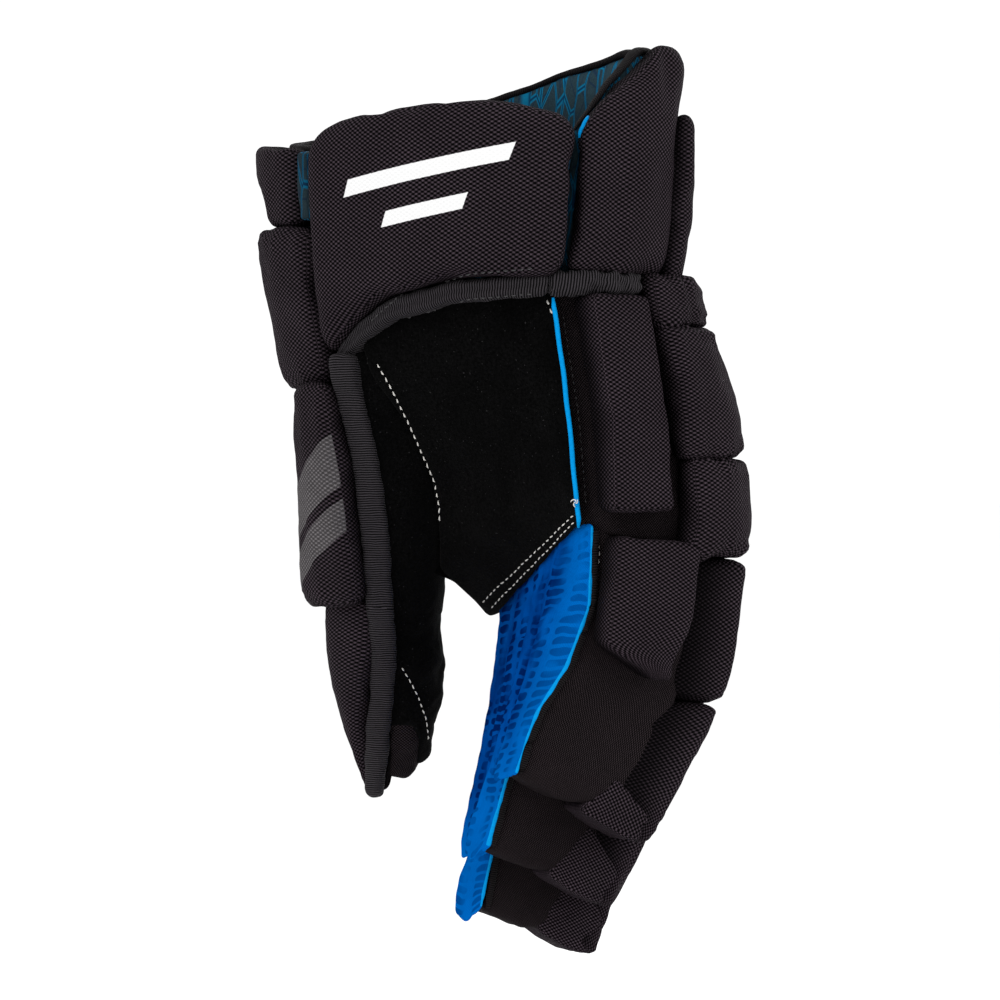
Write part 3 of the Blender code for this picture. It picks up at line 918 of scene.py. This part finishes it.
def build_thumb():
    bodies = upper, lower = "thumb_upper", "thumb_lower"
    low = THUMB_SPLIT + 2
    tape_wear = uneven(0.6, 0.35, 8, 2.5)
    place = thumb_pad(-86.5, THUMB_SPLIT - 0.6, 2.8, 16.0)
    piece("thumb_pad_first", "thumb_pad_upper", upper, "mesh_thumb", place, 8.0, 3.0, 0.3, 0.7,
          both(dent(0.3, 0.035, 0.9), dent(0.14, 0.022, 1.3)), thick=5, rough=puckers((-40, 40), 6, 0.8),
          puff=TAUT, chart="upright")

    def place(u, v, w):
        outside = lerp(4.4, 3.1, max(ease(v, 0.5, 1), ease(u, 0.79, 0.85)))
        return THUMB.at(lerp(-76, THUMB_SPLIT - 4, v), lerp(-128, 132, u), lerp(-0.6, outside, w))

    piece("thumb_suede_first", "thumb_palm_upper", bodies, "suede", place, 1.8, 2.8,
          rough=uneven(0.9, 0.3, 14, 5), bend=TO_THUMB_TIP)
    place = shell(THUMB, (84, 250), -152, -190, -1.6, 1.8)
    piece("thumb_joint_fabric", None, bodies, "fine", place, 1.2, 3.0, bend=TO_THUMB_TIP)
    place = seam_tape(-76, THUMB_SPLIT - 3.5, lambda v: lerp(11.0, 8.0, ease(v, 0, 0.3)))
    piece("thumb_seam_first", "thumb_binding_upper", bodies, "tape", place, 3.0, 1.8, rough=tape_wear,
          chart="turned", bend=TO_THUMB_TIP)
    second = thumb_pad(low, -242, 0.4, 12.2)

    def place(u, v, w):
        return second(u, v, w * lerp(0.6, 1.0, ease(v, 0, 0.35)) * lerp(1.0, 0.42, ease(v, 0.45, 1)))

    piece("thumb_pad_second", "thumb_pad_lower", lower, "mesh", place, 6.0, 2.8, 0.3, 0.7, thick=5,
          rough=puckers((-34, 34), 6, 0.4), puff=TAUT)

    def suede_end(angle):
        return interp(angle, ((-66, -216), (-38, -231), (60, -231)))

    place = shell(THUMB, (-122, 86), low + 3, suede_end, -1.6, 2.4)
    piece("thumb_suede_second", "thumb_palm_lower", bodies, "suede", place, 1.8, 2.2,
          rough=uneven(1.7, 0.7, 11, 4.5), bend=TO_THUMB_TIP)
    place = seam_tape(low, -244.5, lambda v: lerp(8.2, 6.4, v))
    piece("thumb_seam_second", "thumb_binding_lower", bodies, "tape", place, 3.0, 1.8, rough=tape_wear,
          chart="turned", bend=TO_THUMB_TIP)

    def cap(u, v, w):
        return THUMB.at(lerp(-210, -236.5, v), lerp(-112, 60, u), lerp(-5, lerp(1.6, 0.4, v), w))

    piece("thumb_end_cap", "thumb_tip_cap", lower, "fine", cap, 3.2, 2.2, rough=uneven(1.3, 0.7, 8, 3.5))


# ---- fingers


# How far the blue fabric climbs the little finger's outer side, at distances below the knuckle.
CLIMB = ((-7, 3), (0, 4.5), (23, 9.3), (46, 6.8), (56, 3.2), (63, 1.0), (75, 0))
# How far each palm strip hangs out beyond its finger's tip, and the back roll's extra lift.
TIPS = {"pinky": (1.0, -0.8), "ring": (1.8, 0.0), "middle": (5.0, 1.0), "index": (1.8, 0.6)}


def build_finger(finger):
    name, total, first, last = finger.name, finger.total, finger.length(0), finger.length(1)
    mid = 0.42 * first
    droop, lift = TIPS[name]
    spans = (
        (("hand", f"{name}_1"), -7, mid + 1.6, 0),
        ((f"{name}_1", f"{name}_2"), mid - 0.6, total - 0.6, first),
    )

    def base(distance):
        return lerp(1.9, 0.2, ease(distance, 15, 70))

    def climb(distance, u):
        return interp(distance, CLIMB) * clamp(u) ** 2.2 if name == "pinky" else 0.0

    def side_line(distance, sway):
        return finger.run(distance, 11.2 + sway, base(distance) + 2.3 + climb(distance, 1))

    for number, (bodies, start, end, joint) in enumerate(spans, 1):
        bend = finger.run(joint - 7, 0, 8), finger.run(joint + 7, 0, 8)
        middle = (start + end) / 2

        def palm(u, v, w, start=start, end=end):
            distance = lerp(start, end, v)
            hang = droop * ease(distance, total - 36, total - 6) * (1 - 0.75 * u)
            edge = ease(distance, total - 16, total)
            long = 4.5 * edge * (1 - abs(2 * u - 0.9)) * (name in ("middle", "ring"))
            rise = base(distance) + lerp(1.9, 0, w) + climb(distance, u) - hang
            return finger.run(distance + long - 4 * edge * u, lerp(lerp(-11.3, -8, edge), 11.5, u), rise)

        def ripple(_, at, middle=middle):
            y, seed = at.y + middle, finger.offset
            return 0.55 * wave(at.x / 3.5, y / 40, seed) + 0.5 * wave(at.x / 30, y / 5, seed)

        bead(piece(f"{name}_palm_fabric_{number}", f"{name}_palm_{number}", bodies, ("blue", "cyan"), palm,
                   1.5, 1.8, bend=bend, rough=ripple, shift=(finger.offset, middle), thick=3))

        def core(u, v, w, start=start, end=end):
            distance = lerp(start, end, v)
            low = base(distance) + 1.6 + climb(distance, u)
            high = 0.74 * finger.depth(distance)
            distance -= ease(distance, total - 9, total) * (lerp(3.2, 0.8, w) + 2.4 * ease(w, 0.45, 0.7))
            return finger.run(distance, lerp(-10.7, 10.7, u), lerp(low, high, w))

        piece(f"{name}_side_fabric_{number}", f"{name}_wall_{number}", bodies, "fine", core, 3.0, 3.0,
              bend=bend, rough=uneven(0.7, 0.3, 12, 4), shift=(finger.offset, middle), thick=14)
        low, high = (-5, mid) if number == 1 else (mid - 1, total - 5.5)
        steps = 26
        seam = [side_line(lerp(low, high, i / steps), 0.3 * math.sin(i * 1.7)) for i in range(steps + 1)]
        tube(f"{name}_side_seam_{number}", seam, 1.25, "edge", bodies, bend=bend)

    for joint, (start, end) in enumerate(((0.6, first - 0.3), (first + 0.4, total - 0.5))):

        def roll(u, v, w, start=start, end=end, joint=joint):
            distance = lerp(start, end, v)
            deep = finger.depth(distance)
            low = (0.66, lerp(0.62, 0.78, ease(v, 0.66, 0.85)))[joint]
            rise = deep * lerp(low, 1.0, w) + 0.2 + (lift * w * v if joint else 0)
            distance -= 2.6 * joint * (1 - w) * ease(v, 0.7, 1)
            return finger.run(distance, lerp(-11.4, 11.4, u), rise)

        half = (end - start) / 2
        number = joint + 1
        piece(f"{name}_back_roll_{number}", f"{name}_roll_{number}", f"{name}_{number}", "mesh", roll,
              6.0, 2.8, 0.6, 0.7, thick=6, rough=puckers((-half, half), 8, 0.9), puff=STUFFED,
              shift=(finger.offset, 0))

    def tip_spot(v, w):
        along = lerp(lerp(0.62, 0.83, w), lerp(0.95, 0.99, w), v) + 0.015 * v * math.sin(math.pi * w)
        share = lerp(lerp(0.62, 0.95, w), lerp(0.47, 0.92, w), v)
        return along, share

    def cap(u, v, w):
        along, share = tip_spot(v, w)
        distance = first + along * last
        out = 11.8 - 0.8 * (2 * w - 1) ** 2
        return finger.run(distance, lerp(-out, out, u), share * finger.depth(distance) + lift * w)

    def cap_cloth(u, v, w):
        along, share = tip_spot(v, w)
        return 1.3 * Vector((share * finger.depth(first + along * last), 24 * u, along * last))

    piece(f"{name}_end_cap", f"{name}_tip_cap", f"{name}_2", "mesh", cap, 2.0, 1.6, thick=10,
          rough=uneven(0.6, 0.35, 9, 3.5), chart=cap_cloth)


def bead(strip):
    """The cyan bound edge on the little-finger side of a palm strip."""
    half = strip["size"][0] / 2
    own = spots(strip)
    for face in strip.data.polygons:
        if sum(own[i].x for i in face.vertices) / len(face.vertices) > half - 0.95:
            face.material_index = 1


def build_side_pad(finger):
    def place(u, v, w):
        left = lerp(9.5, 11.5, w) + 22 * ease(v, 0.74, 1.06)
        rise = lerp(left, 43.9 - 7 * ease(v, 0.5, 1), u)
        return finger.at(0, lerp(-0.07, 0.87, v), lerp(12.5, 28.2, w), rise + 6 * v)

    piece("side_pad_finger", "side_pad_lower", "pinky_1", "mesh", place, 3.6, 2.2, 0.6, 0.8, thick=5,
          rough=puckers((-25, 25), 4, 0.4), puff=SLIM)


# ---- threads and piping


def ring(bm, spot, side, up, radius, sides):
    """A ring of vertices round a point, in the plane of side and up."""
    turns = [TAU * k / sides for k in range(sides)]
    return [bm.verts.new((spot + (side * math.cos(a) + up * math.sin(a)) * radius) * MM) for a in turns]


def loft(bm, rings):
    """Skins the rings and closes both ends. Gives each side face with its place along and round."""
    sides = len(rings[0])
    skin = []
    for i, (low, high) in enumerate(zip(rings, rings[1:])):
        for k in range(sides):
            after = (k + 1) % sides
            skin.append((bm.faces.new((low[k], low[after], high[after], high[k])), i, k))
    bm.faces.new(list(reversed(rings[0])))
    bm.faces.new(rings[-1])
    return skin


def tube(name, path, radius, material, body, node=None, bend=None, sides=8):
    """A thin round piece along a path in mm, closed at its ends."""
    bm = bmesh.new()
    uv = bm.loops.layers.uv.new("weave")
    last = len(path) - 1
    rings, runs = [], [0.0]
    for i, spot in enumerate(path):
        ahead = path[min(i + 1, last)]
        along = (ahead - path[max(i - 1, 0)]).normalized()
        side = along.cross(Vector((0.31, 0.2, 0.93))).normalized()
        taper = 1.0 if 0 < i < last else 0.55
        rings.append(ring(bm, spot, side, side.cross(along), radius * taper, sides))
        runs.append(runs[-1] + (ahead - spot).length)
    for face, i, k in loft(bm, rings):
        for loop, (row, turn) in zip(face.loops, ((i, k), (i, k + 1), (i + 1, k + 1), (i + 1, k))):
            loop[uv].uv = (runs[row], turn * TAU * radius / sides)
    face_out(bm)
    attach(make_object(name, bm, material), body, bend, node)


def surface(*names):
    """The named finished pieces as one tree for dropping threads onto."""
    corners, faces = [], []
    for name in names:
        mesh = bpy.data.objects[name].data
        base = len(corners)
        corners += [v.co / MM for v in mesh.vertices]
        faces += [[base + i for i in polygon.vertices] for polygon in mesh.polygons]
    return BVHTree.FromPolygons(corners, faces)


def dropped(tree, spot, lift, way=Vector((0, 1, 0))):
    """The point lift above the surface, straight ahead of spot."""
    hit, normal, _, _ = tree.ray_cast(spot - way * 150, way)
    if hit is None:
        return None
    return hit + normal.normalized() * (lift if normal.dot(way) < 0 else -lift)


def walk(path, pitch):
    """Points every pitch mm along a path."""
    out, left = [path[0]], pitch
    for a, b in zip(path, path[1:]):
        length = (b - a).length
        run = left
        while run <= length:
            out.append(a.lerp(b, run / length))
            run += pitch
        left = run - length
    return out


def stitches(name, path, tree, material, body, dash, gap, radius=0.3, bend=None, way=Vector((0, 1, 0))):
    """A row of sewn threads along a path, each sinking into the cloth at its ends."""
    marks = walk(path, (dash + gap) / 4)
    bm = bmesh.new()
    uv = bm.loops.layers.uv.new("weave")
    for i in range(0, len(marks) - 3, 4):
        slant = Vector((0.12 * math.sin(i * 2.1), 0, 0.12 * math.cos(i * 1.3)))
        middle = marks[i].lerp(marks[i + 2], dash / (dash + gap))
        end = marks[i + 2].lerp(marks[i + 3], 0.4) + slant
        heights = (marks[i] - slant, -0.05), (middle, radius * 0.9), (end, -0.05)
        row = [dropped(tree, spot, rise, way) for spot, rise in heights]
        if None in row or (row[0] - row[2]).length > 1.7 * dash:
            continue
        start, crest, end = row
        along = (end - start).normalized()
        side = along.cross(way).normalized()
        centres = start, start.lerp(crest, 0.6), crest, crest.lerp(end, 0.4), end
        loft(bm, [ring(bm, spot, side, side.cross(along), radius * size, 6)
                  for spot, size in zip(centres, (0.4, 0.95, 1, 0.95, 0.4))])
    for face in bm.faces:
        for loop in face.loops:
            loop[uv].uv = (loop.vert.co.x / MM, loop.vert.co.z / MM)
    bmesh.ops.recalc_face_normals(bm, faces=bm.faces)
    attach(make_object(name, bm, material), body, bend)


def front(*pairs):
    """A path from (x, z) pairs in mm, to be dropped onto a surface."""
    return [Vector((x, 0, z)) for x, z in pairs]


def edge_point(tree, z, start):
    """A point just inside the left edge of the surface's palm side at this height, right of start."""
    step, inset, palm_side = 0.25, 0.5, -12
    for i in range(160):
        x = start + step * i
        spot = dropped(tree, Vector((x, 0, z)), 0.2)
        if spot and spot.y < palm_side:
            return dropped(tree, Vector((x + inset, 0, z)), 0.2)
    return None


def sew_palm():
    bodies = "hand", "thumb_upper"
    palm = surface("palm_suede")
    edge = front((-36.6, -80), (-31.2, -89.5), (-24.8, -102.6), (-20.0, -113.6), (-16.0, -122.8),
                 (-14.2, -132), (-14.0, -139))
    stitches("palm_edge_stitch", edge, palm, "thread", bodies, 2.4, 0.5, bend=TO_THUMB)
    for name, v in (("palm_finger_stitch_a", 0.955), ("palm_finger_stitch_b", 0.985)):
        row = [palm_place(u, v, 1) for u in (0.05, 0.3, 0.6, 0.96)]
        stitches(name, row, palm, "thread", bodies, 2.3, 1.6, 0.26, TO_THUMB, Vector((0.55, 0.83, 0)))
    stitches("palm_top_stitch", front((25.5, -57.5), (28.5, -66)), palm, "thread", "hand", 2.6, 0.8, 0.36)


def fray():
    """Loose thread ends at the foot of the palm's piping."""
    knot = HAND.point(-131, 46.6, -34.4)
    ends = (0.4, 3.4, "thread"), (2.2, 2.6, "thread"), (3.6, 3.0, "cyan"), (5.1, 2.8, "thread")
    steps = 8
    for number, (swing, length, colour) in enumerate(ends, 1):
        path = []
        for k in range(steps + 1):
            t = k / steps
            turn, reach = swing + 2.6 * t, length * t
            out = -0.9 * math.sin(math.pi * t) - 0.3
            path.append(knot + Vector((0.5 * reach * math.cos(turn), out, 0.6 * reach * math.sin(turn))))
        tube(f"piping_thread_end_{number}", path, 0.22, colour, "hand", sides=6)


def sew(pinky):
    wing = surface("cuff_wing")
    path = [edge_point(wing, z, 26) for z in (8.2, 7, 5.8, 4.6, 3.2, 1.8, 0.4)]
    tube("wing_corner_piping", path, 0.9, "cyan", "cuff")
    sew_palm()
    thumb = surface("thumb_suede_second", "thumb_end_cap")
    tip = front((-28.6, -193.5), (-25.2, -199.5), (-22.4, -205.5), (-19.6, -214), (-18.8, -224))
    stitches("thumb_tip_stitch", tip, thumb, "thread", "thumb_lower", 1.7, 0.9, 0.26)
    row = [HAND.point(lerp(-60, -132, t / 8), 46, -29.6) for t in range(9)]
    stitches("side_seam_stitch", row, surface("hand_side_fabric"), "dark_thread", "hand", 1.7, 1.0, 0.26)
    row = front((43.6, -143), (44.6, -148), (44.4, -153), (43.0, -158))
    bend = pinky.run(-7, 0, 8), pinky.run(7, 0, 8)
    knuckle = surface("pinky_side_fabric_1")
    stitches("pinky_side_stitch", row, knuckle, "thread", ("hand", "pinky_1"), 1.7, 1.2, 0.24, bend=bend)
    flap = surface("palm_flap", "flap_edge_tape")
    rows = ("flap_edge_stitch", 252, 3.4, 0.3), ("flap_tape_stitch", 246, -5.4, 0.26)
    for name, start, rise, radius in rows:
        row = [CUFF.at(hem(rise)(a), a, 0) for a in range(start, 316, 4)]
        stitches(name, row, flap, "dark_thread", "flap", 1.8, 1.1, radius)
    fray()


# ---- stage


# In metres: where the camera stands, the point that the lamps face, and how far down the floor is.
CAMERA_AT = 0.0085, -1.7, -0.130
LIT_POINT = 0.01, 0, -0.13
FLOOR_DOWN = 0.40
# Each lamp's place in metres, power in watts and size in metres.
LAMPS = {
    "key": ((-0.9, -1.3, 0.9), 9, 0.7),
    "fill": ((1.3, -0.9, 0.3), 5, 0.7),
    "rim": ((0.5, 1.2, 0.8), 6, 0.8),
}


def build_floor():
    bm = bmesh.new()
    bmesh.ops.create_grid(bm, x_segments=8, y_segments=8, size=400)
    mesh = bpy.data.meshes.new("floor")
    bm.to_mesh(mesh)
    bm.free()
    g = Graph("pale_floor")
    tint = g.mix(g.noise(3, 2), (0.93, 0.93, 0.93), (0.95, 0.95, 0.95))
    mesh.materials.append(g.finish(tint, g.noise(400, 2), 0.1, 0.9, 0.0, 0.4, 0.2, 0.2))
    stand("floor", mesh, (0, 0, -FLOOR_DOWN))


def build_stage():
    build_floor()
    scene = bpy.context.scene
    world = bpy.data.worlds.new("studio")
    world.use_nodes = True
    for key, value in {"Color": (1, 1, 1, 1), "Strength": 1.08}.items():
        world.node_tree.nodes["Background"].inputs[key].default_value = value
    scene.world = world
    scene.view_settings.view_transform = "Standard"
    for name, (spot, power, size) in LAMPS.items():
        light = bpy.data.lights.new(name, "AREA")
        light.energy, light.size = power, size
        facing = (Vector(LIT_POINT) - Vector(spot)).to_track_quat("-Z", "Y")
        stand(name, light, spot).rotation_euler = facing.to_euler()
    camera = bpy.data.cameras.new("camera")
    camera.lens, camera.sensor_width = 164.5, 36
    scene.camera = stand("camera", camera, CAMERA_AT)
    scene.camera.rotation_euler = (math.pi / 2, 0, 0)


def main():
    fingers = [Finger(name, (1.5 - i) * PITCH) for i, name in enumerate(FINGERS)]
    build_stage()
    for node in frame["nodes"].values():
        for slot in node.material_slots:
            slot.material = MATERIAL["plate"]
    build_cuff()
    build_flap()
    build_hand()
    build_thumb()
    for finger in fingers:
        build_finger(finger)
    build_side_pad(fingers[0])
    simulate()
    settle()
    sew(fingers[0])


main()
